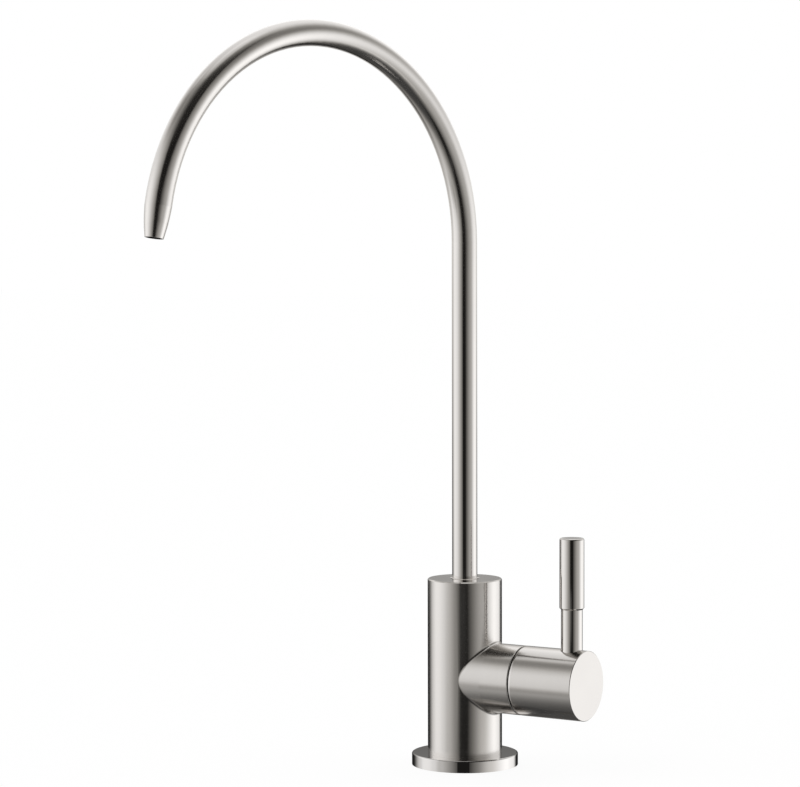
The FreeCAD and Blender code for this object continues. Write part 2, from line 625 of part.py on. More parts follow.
def make_cartridge_housing():
    body = branch_body("cartridge_housing")
    start = "seat_out + end_clear"
    land = "chamber_dia / 2 - fit_clear"
    groove = "chamber_dia / 2 - barrel_seal_cord"
    half = "(barrel_seal_cord / 2 + fit_clear)"
    shelf = f"barrel_seal_out - {half} - 2 * end_clear"
    bore = "spindle_dia / 2 + run_clear"
    turned(body, "barrel", [
        ("pocket_dia / 2", start), ("barrel_dia / 2", start), ("barrel_dia / 2", shelf),
        (land, shelf), (land, f"barrel_seal_out - {half}"), (groove, f"barrel_seal_out - {half}"),
        (groove, f"barrel_seal_out + {half}"), (land, f"barrel_seal_out + {half}"),
        (land, "chamber_shoulder"), ("gland_dia / 2 - fit_clear", "chamber_shoulder"),
        ("gland_dia / 2 - fit_clear", "housing_end"), (bore, "housing_end"), (bore, "pocket_end"),
        ("pocket_dia / 2", "pocket_end")])
    window = sector_cut(body, "window", "YZ_Plane", [
        (f"pocket_dia / 2 - {PAST}", DISC_SPLIT), (f"barrel_dia / 2 + {PAST}", DISC_SPLIT),
        (f"barrel_dia / 2 + {PAST}", f"{PLATE_LOW} - end_clear"),
        (f"pocket_dia / 2 - {PAST}", f"{PLATE_LOW} - end_clear")], "window_angle")
    around(body, "windows", window, "disc_ports")
    # the curved slot that ends the quarter turn at both of its ends
    slot = new_sketch(body, "stop_outline", "XZ_Plane")
    inner = "(stop_pin_ring - stop_pin_dia) / 2 - fit_clear"
    outer = "(stop_pin_ring + stop_pin_dia) / 2 + fit_clear"
    outline(slot, [
        (inner, f"pocket_end - {PAST}"), (outer, f"pocket_end - {PAST}"),
        (outer, "pocket_end + stop_deep"), (inner, "pocket_end + stop_deep")])
    lead = "asin((stop_pin_dia + 2 * fit_clear) / (stop_pin_ring - stop_pin_dia))"
    spread = f"quarter_turn * 1 deg + 2 * {lead}"
    feature(body, "Groove", "stop", slot, ReferenceAxis=(slot, ["V_Axis"]), Angle=spread,
            Midplane=True)
    return body


def make_cartridge_seal():
    return ring_cord("cartridge_o_ring", "(chamber_dia - barrel_seal_cord) / 2",
                     "barrel_seal_cord", BRANCH_TURN, "barrel_seal_out", "branch_high")


def make_gland_nut():
    """A threaded ring with two spanner slots across its face."""
    body = branch_body("gland_nut")
    rim = "gland_dia / 2 - run_clear"
    turned(body, "ring", [
        ("gland_bore / 2", "housing_end"), (f"{rim} - thread_edge", "housing_end"),
        (rim, "housing_end + thread_edge"), (rim, "gland_face - thread_edge"),
        (f"{rim} - thread_edge", "gland_face"), ("gland_bore / 2", "gland_face")])
    slots = new_sketch(body, "slot_outline", "XY_Plane", lift="gland_face")
    outline(slots, [
        ("0 - gland_dia", "0 - gland_slot_wide / 2"), ("gland_dia", "0 - gland_slot_wide / 2"),
        ("gland_dia", "gland_slot_wide / 2"), ("0 - gland_dia", "gland_slot_wide / 2")])
    feature(body, "Pocket", "slots", slots, Length="gland_slot_deep")
    return body


# Valve cartridge, turning part

def make_moving_disc():
    """Two open notches that stand across the fixed ports when closed, and a slot for the spindle."""
    body = branch_body("moving_ceramic_disc")
    turned(body, "disc", [
        ("0", DISC_SPLIT), ("disc_dia / 2 - run_clear", DISC_SPLIT),
        ("disc_dia / 2 - run_clear", PLATE_LOW), ("0", PLATE_LOW)])
    notch = sector_cut(body, "notch", "XZ_Plane", [
        ("notch_inner_dia / 2", f"{DISC_SPLIT} - {PAST}"),
        (f"disc_dia / 2 + {PAST}", f"{DISC_SPLIT} - {PAST}"),
        (f"disc_dia / 2 + {PAST}", f"{PLATE_LOW} + {PAST}"),
        ("notch_inner_dia / 2", f"{PLATE_LOW} + {PAST}")], "port_angle")
    around(body, "notches", notch, "disc_ports")
    slot = new_sketch(body, "slot_outline", "XY_Plane", lift=PLATE_LOW)
    half = "tang_wide / 2 + fit_clear"
    outline(slot, [
        (f"0 - ({half})", "0 - disc_dia"), (half, "0 - disc_dia"), (half, "disc_dia"),
        (f"0 - ({half})", "disc_dia")])
    feature(body, "Pocket", "slot", slot, Length="tang_deep + fit_clear")
    return body


def make_spindle():
    body = branch_body("valve_spindle")
    shaft = "spindle_dia / 2"
    seal_groove = "spindle_dia / 2 - spindle_seal_cord"
    half = "(spindle_seal_cord / 2 + run_clear)"
    clip_groove = "spindle_dia / 2 - spline_deep"
    clip_end = f"{CLIP_START} + clip_thick + run_clear"
    core = "spindle_dia / 2 - spline_deep"
    turned(body, "stem", [
        ("0", PLATE_LOW), ("disc_dia / 2 - fit_clear", PLATE_LOW),
        ("disc_dia / 2 - fit_clear", PLATE_TOP), (shaft, PLATE_TOP),
        (shaft, f"spindle_seal_out - {half}"), (seal_groove, f"spindle_seal_out - {half}"),
        (seal_groove, f"spindle_seal_out + {half}"), (shaft, f"spindle_seal_out + {half}"),
        (shaft, CLIP_START), (clip_groove, CLIP_START), (clip_groove, clip_end),
        (shaft, clip_end), (shaft, "spline_start"), (core, "spline_start"),
        (core, f"{SPLINE_END} - thread_edge"), (f"{core} - thread_edge", SPLINE_END),
        ("0", SPLINE_END)])
    tang = new_sketch(body, "tang_outline", "XY_Plane", lift=PLATE_LOW)
    outline(tang, [
        ("0 - tang_wide / 2", "0 - disc_dia / 2 + thread_edge"),
        ("tang_wide / 2", "0 - disc_dia / 2 + thread_edge"),
        ("tang_wide / 2", "disc_dia / 2 - thread_edge"),
        ("0 - tang_wide / 2", "disc_dia / 2 - thread_edge")])
    feature(body, "Pad", "tang", tang, Reversed=True, Length="tang_deep")
    # the pin stands at one end of the housing's curved slot when the valve is closed
    pin = new_sketch(body, "stop_outline", "XY_Plane", lift=PLATE_TOP)
    circle(pin, "stop_pin_dia", "stop_pin_ring / 2 * cos(quarter_turn / 2)",
           "0 - stop_pin_ring / 2 * sin(quarter_turn / 2)")
    feature(body, "Pad", "stop_pin", pin, Length=f"pocket_end + stop_deep - fit_clear - {PLATE_TOP}")
    tooth = new_sketch(body, "tooth_outline", "XY_Plane", lift="spline_start")
    spline_tooth(tooth, "0")
    ridge = feature(body, "Pad", "tooth", tooth, Length="spline_long - thread_edge")
    around(body, "teeth", ridge, "spline_teeth")
    return body


def spline_tooth(sketch, grow):
    """A tooth on local X; grow widens it all round, for the hub's matching grooves."""
    foot = f"(spindle_dia / 2 - spline_deep - fit_clear + {grow})"
    tip = f"(spindle_dia / 2 + {grow})"
    half_pitch = f"{FULL_TURN} / 2 / spline_teeth"
    foot_half = f"({foot} * tan({TOOTH_FOOT} * {half_pitch}) + {grow} / 2)"
    tip_half = f"({tip} * tan({TOOTH_TIP} * {half_pitch}) + {grow} / 2)"
    outline(sketch, [
        (foot, f"0 - {foot_half}"), (tip, f"0 - {tip_half}"), (tip, tip_half), (foot, foot_half)])


def make_spindle_seal():
    return ring_cord("spindle_o_ring", "(spindle_dia - spindle_seal_cord) / 2",
                     "spindle_seal_cord", BRANCH_TURN, "spindle_seal_out", "branch_high")


def make_spindle_clip():
    """An open ring that holds the spindle in its housing."""
    body = branch_body("spindle_circlip")
    bore = "spindle_dia / 2 - spline_deep + run_clear"
    turned(body, "ring", [
        (bore, CLIP_START), ("clip_dia / 2", CLIP_START),
        ("clip_dia / 2", f"{CLIP_START} + clip_thick"), (bore, f"{CLIP_START} + clip_thick")],
        Angle="360 - clip_gap")
    return body


# Handle

def make_handle_hub():
    body = branch_body("handle_hub")
    core = "spindle_dia / 2 - spline_deep + run_clear"
    mouth = f"{HUB_START} + hub_mouth_deep"
    turned(body, "drum", [
        ("hub_mouth_dia / 2", HUB_START), ("branch_dia / 2", HUB_START),
        ("branch_dia / 2", f"{HUB_END} - hub_edge"), ("branch_dia / 2 - hub_edge", HUB_END),
        ("0", HUB_END), ("0", f"{SPLINE_END} + thread_edge"),
        (core, f"{SPLINE_END} + thread_edge"), (core, mouth), ("hub_mouth_dia / 2", mouth)])
    rounded(body, "mouth_round", ring_edges(body, "branch_dia / 2", HUB_START), "seam_round")
    tooth = new_sketch(body, "tooth_outline", "XY_Plane", lift=mouth)
    spline_tooth(tooth, "run_clear")
    cut = feature(body, "Pocket", "tooth", tooth, Reversed=True,
                  Length=f"{SPLINE_END} + thread_edge - ({mouth})")
    around(body, "teeth", cut, "spline_teeth")

    seat = new_sketch(body, "lever_seat_outline", lift="0 - lever_seat")
    circle(seat, "lever_stem_dia + 2 * lever_gap", "0", "lever_out")
    feature(body, "Pocket", "lever_seat", seat, Length="branch_dia")
    tapped = new_sketch(body, "lever_hole_outline", lift="0 - (lever_tail_start - end_clear)")
    circle(tapped, "lever_tail_dia", "0", "lever_out")
    feature(body, "Pocket", "lever_hole", tapped, Length="branch_dia")
    screw = new_sketch(body, "screw_hole_outline")
    circle(screw, "screw_dia", "0", "screw_out")
    feature(body, "Pocket", "screw_hole", screw, Reversed=True, Length="branch_dia")
    return body


def make_lever():
    """One turned pin: threaded tail, thinner stem and grip."""
    body = new_body("lever", x="lever_out", z="branch_high")
    tail = "lever_tail_dia / 2 - run_clear"
    turned(body, "pin", [
        ("0", "lever_tail_start"), (f"{tail} - thread_edge", "lever_tail_start"),
        (tail, "lever_tail_start + thread_edge"), (tail, "lever_seat"),
        ("lever_stem_dia / 2", "lever_seat"), ("lever_stem_dia / 2", "lever_grip_start"),
        ("lever_grip_dia / 2", "lever_grip_start + lever_grip_bevel"),
        ("lever_grip_dia / 2", "lever_top"), ("0", "lever_top")])
    rounded(body, "top_round", ring_edges(body, "lever_grip_dia / 2", "lever_top"), "lever_round")
    return body


def make_handle_set_screw():
    """A headless screw under the hub; its own Z points down, away from the spindle."""
    body = new_body("handle_set_screw", POINT_DOWN, "screw_out", "branch_high")
    tip = "spindle_dia / 2 + fit_clear"
    rim = "screw_dia / 2 - run_clear"
    top = f"{tip} + screw_long"
    turned(body, "pin", [
        ("0", tip), (f"{rim} - thread_edge", tip), (rim, f"{tip} + thread_edge"), (rim, top),
        ("0", top)])
    key = new_sketch(body, "key_outline", "XY_Plane", lift=top)
    hexagon(key, "screw_key")
    feature(body, "Pocket", "key", key, Length="screw_key")
    return body


def make_flange_seal():
    return ring_cord("flange_o_ring", "flange_seal_dia / 2", "flange_seal_cord",
                     z="flange_thick - flange_seal_cord / 2")


pieces = [
    make_valve_body(), make_base_flange(), make_deck_gasket(), make_flange_seal(),
    make_threaded_shank(), make_compression_nut(), make_ferrule(),
    make_clamp_washer(), make_lock_washer(), make_deck_nut(),
    make_spout_tube(), make_spout_nipple(), *make_spout_seals(), make_spout_retaining_ring(),
    make_spout_bush(), make_cartridge_housing(), make_cartridge_seal(), make_seat_seal(),
    make_fixed_disc(), make_gland_nut(), make_moving_disc(), make_spindle(), make_spindle_seal(),
    make_spindle_clip(), make_handle_hub(), make_lever(), make_handle_set_screw(),
]

# Every object has to be sound before anything is written
doc.recompute()
for item in doc.Objects:
    if {"Invalid", "Error"} & set(item.State):
        raise ValueError(f"{item.Name} did not recompute: {item.State}")
for piece in pieces:
    if piece.Shape.isNull() or not piece.Shape.isValid() or len(piece.Shape.Solids) != 1:
        raise ValueError(f"{piece.Label} is not one sound solid")

os.makedirs("parts", exist_ok=True)
for piece in pieces:
    piece.Shape.exportStep(f"parts/{piece.Label}.step")
print(len(pieces), "pieces written")
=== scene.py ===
import math

import bmesh
import bpy
from mathutils import Matrix, Vector


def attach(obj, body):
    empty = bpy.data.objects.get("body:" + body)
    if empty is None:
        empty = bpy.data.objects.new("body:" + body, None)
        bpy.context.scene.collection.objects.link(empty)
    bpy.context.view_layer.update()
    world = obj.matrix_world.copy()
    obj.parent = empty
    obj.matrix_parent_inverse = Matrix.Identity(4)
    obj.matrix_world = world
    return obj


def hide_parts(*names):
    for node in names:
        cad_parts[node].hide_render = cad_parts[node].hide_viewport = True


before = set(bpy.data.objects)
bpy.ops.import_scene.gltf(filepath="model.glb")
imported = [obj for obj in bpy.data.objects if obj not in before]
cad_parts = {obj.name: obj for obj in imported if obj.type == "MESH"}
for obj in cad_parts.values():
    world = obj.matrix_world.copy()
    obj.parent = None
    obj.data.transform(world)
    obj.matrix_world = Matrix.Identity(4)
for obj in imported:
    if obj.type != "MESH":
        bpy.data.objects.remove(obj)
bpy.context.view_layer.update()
scene = bpy.context.scene

# Camera: placed round the column's axis, in metres and degrees
PHOTO_WIDE = 800
FOCAL_PIXELS = 2935.9
SENSOR = 36.0
CAMERA_AZIMUTH = 32.53
CAMERA_BACK = 1.09943
CAMERA_SIDE = -0.024217
CAMERA_HIGH = 0.2033
CAMERA_PITCH = -3.292
CAMERA_ROLL = -0.137
CAMERA_NEAREST, CAMERA_FURTHEST = 0.01, 20.0


def make_camera():
    data = bpy.data.cameras.new("camera")
    data.sensor_width = SENSOR
    data.lens = FOCAL_PIXELS / PHOTO_WIDE * SENSOR
    data.clip_start, data.clip_end = CAMERA_NEAREST, CAMERA_FURTHEST
    camera = bpy.data.objects.new("camera", data)
    scene.collection.objects.link(camera)
    round_axis = Matrix.Rotation(math.radians(CAMERA_AZIMUTH), 4, "Z")
    away = Matrix.Translation((CAMERA_SIDE, -CAMERA_BACK, CAMERA_HIGH))
    tilt = Matrix.Rotation(math.radians(90 + CAMERA_PITCH), 4, "X")
    roll = Matrix.Rotation(math.radians(CAMERA_ROLL), 4, "Z")
    camera.matrix_world = round_axis @ away @ tilt @ roll
    scene.camera = camera


make_camera()
scene.view_settings.view_transform = "Standard"


# Small helpers for node trees

def put(tree, socket, value):
    """Link a socket to an input, or set the input to a number or a vector."""
    if isinstance(value, bpy.types.NodeSocket):
        tree.links.new(value, socket)
    else:
        socket.default_value = value


def math_node(tree, operation, first, second=0.0):
    node = tree.nodes.new("ShaderNodeMath")
    node.operation = operation
    put(tree, node.inputs[0], first)
    put(tree, node.inputs[1], second)
    return node.outputs[0]


def vector_node(tree, operation, first, second=None):
    node = tree.nodes.new("ShaderNodeVectorMath")
    node.operation = operation
    put(tree, node.inputs[0], first)
    if second is not None:
        put(tree, node.inputs[1], second)
    return node


def map_range(tree, value, low, high, to_low=0.0, to_high=1.0, kind="LINEAR"):
    node = tree.nodes.new("ShaderNodeMapRange")
    node.interpolation_type = kind
    put(tree, node.inputs["Value"], value)
    node.inputs["From Min"].default_value = low
    node.inputs["From Max"].default_value = high
    node.inputs["To Min"].default_value = to_low
    node.inputs["To Max"].default_value = to_high
    return node.outputs[0]


def smooth(tree, value, low, high, to_low=0.0, to_high=1.0):
    """A map range that leaves and arrives without a kink."""
    return map_range(tree, value, low, high, to_low, to_high, "SMOOTHSTEP")


def object_coords(tree):
    return tree.nodes.new("ShaderNodeTexCoord").outputs["Object"]


def parts_of(tree, vector):
    node = tree.nodes.new("ShaderNodeSeparateXYZ")
    put(tree, node.inputs[0], vector)
    return node.outputs["X"], node.outputs["Y"], node.outputs["Z"]


def coordinate(tree, axis):
    """How far along x, y or z a point of the surface is, in the shared frame."""
    return parts_of(tree, object_coords(tree))["xyz".index(axis)]


def joined(tree, x, y, z):
    node = tree.nodes.new("ShaderNodeCombineXYZ")
    for socket, value in zip(node.inputs, (x, y, z)):
        put(tree, socket, value)
    return node.outputs[0]


def scaled(tree, vector, scale):
    node = tree.nodes.new("ShaderNodeMapping")
    put(tree, node.inputs["Vector"], vector)
    node.inputs["Scale"].default_value = scale
    return node.outputs[0]


def noise(tree, vector, scale=1.0, detail=3.0, rough=0.5):
    node = tree.nodes.new("ShaderNodeTexNoise")
    put(tree, node.inputs["Vector"], vector)
    node.inputs["Scale"].default_value = scale
    node.inputs["Detail"].default_value = detail
    node.inputs["Roughness"].default_value = rough
    return node.outputs["Fac"]


def mixed(tree, factor, first, second, kind="FLOAT"):
    node = tree.nodes.new("ShaderNodeMix")
    node.data_type = kind
    names = {"FLOAT": "Float", "VECTOR": "Vector", "RGBA": "Color"}
    wanted = [s for s in node.inputs if s.enabled and s.name in ("A", "B")]
    put(tree, next(s for s in node.inputs if s.enabled and s.name == "Factor"), factor)
    for socket, value in zip(wanted, (first, second)):
        put(tree, socket, (*value, 1) if kind == "RGBA" and isinstance(value, tuple) else value)
    return next(s for s in node.outputs if s.identifier == f"Result_{names[kind]}")


def mixed_shader(tree, factor, first, second):
    node = tree.nodes.new("ShaderNodeMixShader")
    put(tree, node.inputs[0], factor)
    tree.links.new(first, node.inputs[1])
    tree.links.new(second, node.inputs[2])
    return node.outputs[0]


def bump(tree, height, distance, below=None):
    node = tree.nodes.new("ShaderNodeBump")
    put(tree, node.inputs["Height"], height)
    node.inputs["Distance"].default_value = distance
    if below is not None:
        put(tree, node.inputs["Normal"], below)
    return node.outputs["Normal"]


def surface(tree, shader):
    output = tree.nodes.new("ShaderNodeOutputMaterial")
    tree.links.new(shader, output.inputs["Surface"])


def new_material(name, **settings):
    """A material with one Principled shader; returns the material, its tree and the shader."""
    material = bpy.data.materials.new(name)
    material.use_nodes = True
    tree = material.node_tree
    tree.nodes.clear()
    shader = tree.nodes.new("ShaderNodeBsdfPrincipled")
    for key, value in settings.items():
        shader.inputs[key.replace("_", " ")].default_value = value
    surface(tree, shader.outputs[0])
    return material, tree, shader


# Metals. Brush marks run round each turned piece: long round its axis and short along it.

ACROSS_MARKS = 2600.0
ALONG_MARKS = 36.0
BLOTCHES = 70.0
SOFT_DETAIL = 2.0
# how much of the roughness comes from the marks; the rest comes from soft blotches
MARKS_SHARE = 0.6
# noise seldom leaves these values, so roughness runs from its least to its most between them
NOISE_SPREAD = (0.3, 0.7)
# a quarter turn, so that the shine spreads across the tangent
ACROSS_TANGENT = 0.25


def marks_round(axis, across=ACROSS_MARKS):
    scale = tuple(across if name == axis else ALONG_MARKS for name in "xyz")
    return lambda tree: noise(tree, scaled(tree, object_coords(tree), scale))


# the branch leaves the column here, so the marks turn from rings round Z to rings round X
BRANCH_ROOT = (0.0136, 0.0146)


def branch_share(tree):
    """0 on the column and 1 on the branch."""
    return map_range(tree, coordinate(tree, "x"), *BRANCH_ROOT)


def marks_on_body(tree):
    return mixed(tree, branch_share(tree), marks_round("z")(tree), marks_round("x")(tree))


# The spout's path: straight up, then an arc in the upright plane of this turn
SPOUT_TURN = -103.33
BEND_START = 0.1969
BEND_RADIUS = 0.0744


def marks_on_spout(tree):
    """Rings round the tube, which follow its bend."""
    turn = math.radians(SPOUT_TURN)
    x, y, z = parts_of(tree, object_coords(tree))
    out = vector_node(tree, "DOT_PRODUCT", joined(tree, x, y, 0.0),
                      (math.cos(turn), math.sin(turn), 0)).outputs["Value"]
    side = vector_node(tree, "DOT_PRODUCT", joined(tree, x, y, 0.0),
                       (-math.sin(turn), math.cos(turn), 0)).outputs["Value"]
    rise = math_node(tree, "SUBTRACT", z, BEND_START)
    inward = math_node(tree, "SUBTRACT", BEND_RADIUS, out)
    angle = math_node(tree, "ARCTAN2", rise, inward)
    reach = math_node(tree, "SQRT", math_node(tree, "ADD", math_node(tree, "POWER", rise, 2.0),
                                              math_node(tree, "POWER", inward, 2.0)))
    in_bend = math_node(tree, "GREATER_THAN", rise, 0.0)
    along = mixed(tree, in_bend, z, math_node(
        tree, "ADD", math_node(tree, "MULTIPLY", angle, BEND_RADIUS), BEND_START))
    off = mixed(tree, in_bend, out, math_node(tree, "SUBTRACT", BEND_RADIUS, reach))
    scale = (ALONG_MARKS, ALONG_MARKS, ACROSS_MARKS)
    return noise(tree, scaled(tree, joined(tree, off, side, along), scale))


def ring_tangent(tree, axis):
    node = tree.nodes.new("ShaderNodeTangent")
    node.direction_type = "RADIAL"
    node.axis = axis
    return node.outputs[0]


def turned_metal(name, marks, dark, light, roughness, depth, tangent=None, coarser=None,
                 rounding=None):
    """A metal with brush marks. With a tangent its shine spreads along the piece, across the
    marks; coarser adds roughness by place, and rounding gives the normal of a soft edge."""
    material, tree, shader = new_material(name, Metallic=1.0)
    height = marks(tree)
    blotch = noise(tree, object_coords(tree), BLOTCHES, SOFT_DETAIL)
    put(tree, shader.inputs["Base Color"], mixed(tree, height, dark, light, "RGBA"))
    unevenness = mixed(tree, MARKS_SHARE, blotch, height)
    rough = map_range(tree, unevenness, *NOISE_SPREAD, *roughness)
    if coarser is not None:
        rough = math_node(tree, "ADD", rough, coarser(tree))
    put(tree, shader.inputs["Roughness"], rough)
    below = None if rounding is None else rounding(tree)
    put(tree, shader.inputs["Normal"], bump(tree, height, depth, below))
    if tangent is not None:
        shader.inputs["Anisotropic"].default_value = GRAIN
        shader.inputs["Anisotropic Rotation"].default_value = ACROSS_TANGENT
        put(tree, shader.inputs["Tangent"], tangent(tree))
    return material


def body_tangent(tree):
    return mixed(tree, branch_share(tree), ring_tangent(tree, "Z"), ring_tangent(tree, "X"),
                 "VECTOR")


def hub_tangent(tree):
    return ring_tangent(tree, "X")


# the column is brushed a little more coarsely than its branch, and its top face is finer
COLUMN_COARSER, TOP_FINER = 0.025, -0.06
TOP_FACE = 0.0699


def column_coarser(tree):
    on_top = math_node(tree, "GREATER_THAN", coordinate(tree, "z"), TOP_FACE)
    return mixed(tree, branch_share(tree), mixed(tree, on_top, COLUMN_COARSER, TOP_FINER), 0.0)


# the tube is brushed more coarsely in its bend, which blends into the straight run below it
BEND_COARSER = 0.10
BEND_BLEND = 0.05


def bend_coarser(tree):
    return map_range(tree, coordinate(tree, "z"), BEND_START - BEND_BLEND, BEND_START,
                     0.0, BEND_COARSER)


# The two edges at the seam are softly broken: where each starts to round along X, where that
# ends, and how far it drops
BRANCH_EDGE = (0.0256, 0.026, 0.0004)
HUB_EDGE = (0.0272, 0.02665, 0.0001)


def soft_edge(start, end, drop):
    """Gives the normal of an edge that is softly broken."""
    def rounding(tree):
        near = map_range(tree, coordinate(tree, "x"), start, end)
        fall = math_node(tree, "MULTIPLY", math_node(tree, "POWER", near, 2.0), -1.0)
        return bump(tree, fall, drop)
    return rounding


NICKEL = ((0.715, 0.691, 0.668), (0.752, 0.728, 0.703))
BRIGHT_NICKEL = ((0.735, 0.716, 0.700), (0.755, 0.736, 0.720))
STEEL = ((0.56, 0.57, 0.58), (0.66, 0.67, 0.68))
BRASS = ((0.72, 0.54, 0.27), (0.82, 0.64, 0.36))
# how much further the shine of the satin pieces spreads along them than round them
GRAIN = 0.7
# least and most roughness
SATIN, FINE_LEVER, FINE_SPOUT = (0.155, 0.195), (0.06, 0.09), (0.05, 0.08)
POLISHED = (0.015, 0.03)
# how deep the marks are, in metres
SATIN_DEPTH, POLISHED_DEPTH = 0.0000012, 0.0000002
# marks across, roughness and depth of the machined pieces
STEEL_MARKS, STEEL_ROUGH, STEEL_DEPTH = 900.0, (0.24, 0.36), 0.000003
BRASS_MARKS, BRASS_ROUGH, BRASS_DEPTH = 1200.0, (0.22, 0.34), 0.000004

body_metal = turned_metal("brushed_nickel_body", marks_on_body, *NICKEL, SATIN, SATIN_DEPTH,
                          body_tangent, column_coarser, soft_edge(*BRANCH_EDGE))
hub_metal = turned_metal("brushed_nickel_hub", marks_round("x"), *NICKEL, SATIN, SATIN_DEPTH,
                         hub_tangent, rounding=soft_edge(*HUB_EDGE))
lever_metal = turned_metal("brushed_nickel_lever", marks_round("z"), *NICKEL, FINE_LEVER,
                           SATIN_DEPTH)
spout_metal = turned_metal("brushed_nickel_spout", marks_on_spout, *NICKEL, FINE_SPOUT,
                           SATIN_DEPTH, coarser=bend_coarser)
flange_metal = turned_metal("polished_nickel", marks_round("z"), *BRIGHT_NICKEL, POLISHED,
                            POLISHED_DEPTH)
steel = turned_metal("plated_steel", marks_round("z", STEEL_MARKS), *STEEL, STEEL_ROUGH,
                     STEEL_DEPTH)
steel_branch = turned_metal("plated_steel_branch", marks_round("x", STEEL_MARKS), *STEEL,
                            STEEL_ROUGH, STEEL_DEPTH)
brass = turned_metal("brass", marks_round("z", BRASS_MARKS), *BRASS, BRASS_ROUGH, BRASS_DEPTH)
brass_branch = turned_metal("brass_branch", marks_round("x", BRASS_MARKS), *BRASS, BRASS_ROUGH,
                            BRASS_DEPTH)


# Rubber, plastics and ceramic

FINE_DETAIL, FINE_ROUGHNESS = 4.0, 0.6
# the clouds in the colour: how much larger than the grain they are, and their share of it
CLOUD_SIZE, CLOUD_SHARE = 12.0, 0.5


def moulded(name, dark, light, grain, roughness, depth, **settings):
    """A moulded surface: cloudy colour with a fine grain in it."""
    material, tree, shader = new_material(name, **settings)
    coords = object_coords(tree)
    fine = noise(tree, coords, grain, FINE_DETAIL, FINE_ROUGHNESS)
    cloud = noise(tree, coords, grain / CLOUD_SIZE, SOFT_DETAIL)
    put(tree, shader.inputs["Base Color"],
        mixed(tree, mixed(tree, CLOUD_SHARE, fine, cloud), dark, light, "RGBA"))
    put(tree, shader.inputs["Roughness"], map_range(tree, fine, *NOISE_SPREAD, *roughness))
    put(tree, shader.inputs["Normal"], bump(tree, fine, depth))
    return material


rubber = moulded("black_rubber", (0.016, 0.016, 0.017), (0.034, 0.034, 0.035), 2200.0,
                 (0.62, 0.80), 0.00003)
plastic = moulded("black_plastic", (0.020, 0.020, 0.022), (0.036, 0.036, 0.038), 3000.0,
                  (0.40, 0.55), 0.00002)
nylon = moulded("dark_nylon", (0.042, 0.042, 0.044), (0.058, 0.058, 0.060), 1500.0,
                (0.25, 0.35), 0.000008, Coat_Weight=0.2)
ceramic = moulded("white_ceramic", (0.84, 0.83, 0.80), (0.90, 0.89, 0.87), 2600.0,
                  (0.16, 0.26), 0.000003)

FINISHES = {
    "valve_body": body_metal, "handle_hub": hub_metal, "lever": lever_metal,
    "spout_tube": spout_metal, "base_flange": flange_metal,
    "threaded_shank": steel, "deck_nut": steel, "lock_washer": steel,
    "handle_set_screw": steel, "spout_retaining_ring": steel, "spindle_circlip": steel_branch,
    "compression_nut": brass, "ferrule": brass, "spout_nipple": brass,
    "cartridge_housing": brass_branch, "gland_nut": brass_branch, "valve_spindle": brass_branch,
    "deck_gasket": rubber, "flange_o_ring": rubber, "cartridge_o_ring": rubber,
    "seat_seal": rubber, "spout_o_ring_lower": rubber, "spout_o_ring_upper": rubber,
    "spindle_o_ring": rubber, "clamp_washer": plastic, "spout_bush": nylon,
    "fixed_ceramic_disc": ceramic, "moving_ceramic_disc": ceramic,
}
for node_name, finish in FINISHES.items():
    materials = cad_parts[node_name].data.materials
    for slot_index in range(len(materials)):
        materials[slot_index] = finish


# The shank with its thread cut, in metres

SHANK_SIDES = 64
THREAD_PITCH = 0.0254 / 24
THREAD_MAJOR = 0.00555
THREAD_MINOR = 0.00492
THREAD_LOW, THREAD_HIGH = -0.0572, -0.0044
# half widths of a ridge along the shank, at its foot and at its crest
RIDGE_FOOT, RIDGE_CREST = 0.00049, 0.00010
# a ridge starts and ends by rising over this share of a turn
RIDGE_RUN = 0.4
RIDGE_SUNK = 0.00008
SHANK_OUTLINE = [
    (0.0025, 0.0155), (0.0025, -0.042), (0.00325, -0.042), (0.00325, -0.0565),
    (0.0044, -0.058), (THREAD_MINOR - 0.0003, -0.058), (THREAD_MINOR, -0.0577),
    (THREAD_MINOR, -0.004), (0.006, -0.004), (0.006, 0.0), (0.0064, 0.0), (0.0064, 0.0045),
    (0.005, 0.0045), (0.005, 0.015), (0.0045, 0.0155),
]


# faces that meet at a larger angle, in degrees, have a sharp edge between them
SHARPEST_SMOOTH = 30.0


def mesh_of(name, shape):
    mesh = bpy.data.meshes.new(name)
    shape.to_mesh(mesh)
    shape.free()
    return mesh


def link_mesh(name, shape, body, material):
    bmesh.ops.recalc_face_normals(shape, faces=shape.faces)
    mesh = mesh_of(name, shape)
    mesh.shade_smooth()
    mesh.set_sharp_from_angle(angle=math.radians(SHARPEST_SMOOTH))
    mesh.materials.append(material)
    piece = bpy.data.objects.new(name, mesh)
    scene.collection.objects.link(piece)
    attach(piece, body)
    return piece


def ring_points(shape, points, sides):
    """Rings of vertices about Z, one for each (radius, height)."""
    rings = []
    for radius, height in points:
        rings.append([shape.verts.new((radius * math.cos(math.tau * i / sides),
                                       radius * math.sin(math.tau * i / sides), height))
                      for i in range(sides)])
    return rings


def skin(shape, rings, closed_round=True):
    """Faces between each ring and the next, the last joined to the first."""
    count = len(rings[0])
    for lower, upper in zip(rings, rings[1:]):
        for i in range(count if closed_round else count - 1):
            j = (i + 1) % count
            shape.faces.new((lower[i], lower[j], upper[j], upper[i]))


